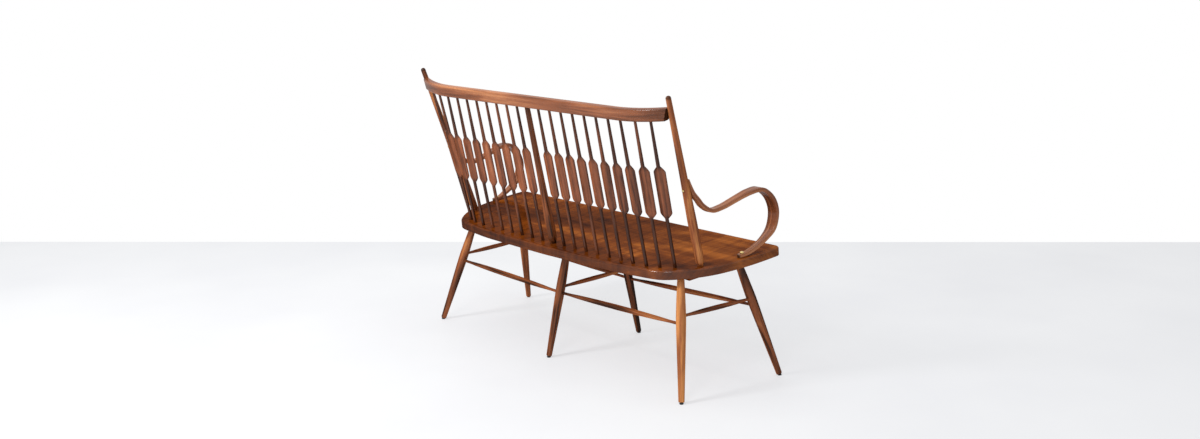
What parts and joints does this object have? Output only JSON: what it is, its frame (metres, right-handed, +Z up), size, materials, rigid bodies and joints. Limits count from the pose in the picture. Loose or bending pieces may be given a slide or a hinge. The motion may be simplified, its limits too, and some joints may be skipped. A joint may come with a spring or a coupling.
{
  "type": "spindle-back bench",
  "caption": "Wooden spindle-back bench: plank seat on splayed turned legs joined by stretchers, bent crest rail over paddle spindles, and a bent scroll arm at each end.",
  "frame": {"origin": "on the floor, under the middle of the bench's box", "axes": "+X along the bench to the right as seen from the front, +Y to the back, +Z up"},
  "size_m": [1.3474, 0.5574, 0.9664],
  "materials": {
    "walnut_flat": "satin oil",
    "walnut_turned": "satin oil",
    "walnut_spindle": "satin oil",
    "brass": "polished",
    "glide": "matte"
  },
  "bodies": {
    "root": {"leg_back_left": "walnut_turned", "glide_back_left": "glide", "leg_back_middle": "walnut_turned", "glide_back_middle": "glide", "leg_back_right": "walnut_turned", "glide_back_right": "glide", "leg_front_left": "walnut_turned", "glide_front_left": "glide", "leg_front_middle": "walnut_turned", "glide_front_middle": "glide", "leg_front_right": "walnut_turned", "glide_front_right": "glide", "stretcher_back_left": "walnut_turned", "stretcher_back_right": "walnut_turned", "stretcher_front_left": "walnut_turned", "stretcher_front_right": "walnut_turned", "stretcher_cross_left": "walnut_turned", "stretcher_cross_middle": "walnut_turned", "stretcher_cross_right": "walnut_turned", "cleat_left": "walnut_flat", "cleat_middle": "walnut_flat", "cleat_right": "walnut_flat", "arm_post_screw_left": "brass", "end_post_left": "walnut_turned", "arm_seat_screw_left": "brass", "arm_left": "walnut_turned", "arm_post_screw_right": "brass", "end_post_right": "walnut_turned", "arm_seat_screw_right": "brass", "arm_right": "walnut_turned", "centre_post": "walnut_turned", "spindle_left_01": "walnut_spindle", "spindle_left_02": "walnut_spindle", "spindle_left_03": "walnut_spindle", "spindle_left_04": "walnut_spindle", "spindle_left_05": "walnut_spindle", "spindle_left_06": "walnut_spindle", "spindle_left_07": "walnut_spindle", "spindle_left_08": "walnut_spindle", "spindle_left_09": "walnut_spindle", "spindle_left_10": "walnut_spindle", "spindle_right_01": "walnut_spindle", "spindle_right_02": "walnut_spindle", "spindle_right_03": "walnut_spindle", "spindle_right_04": "walnut_spindle", "spindle_right_05": "walnut_spindle", "spindle_right_06": "walnut_spindle", "spindle_right_07": "walnut_spindle", "spindle_right_08": "walnut_spindle", "spindle_right_09": "walnut_spindle", "spindle_right_10": "walnut_spindle", "seat": "walnut_flat", "crest_rail": "walnut_flat"}
  },
  "joints": []
}
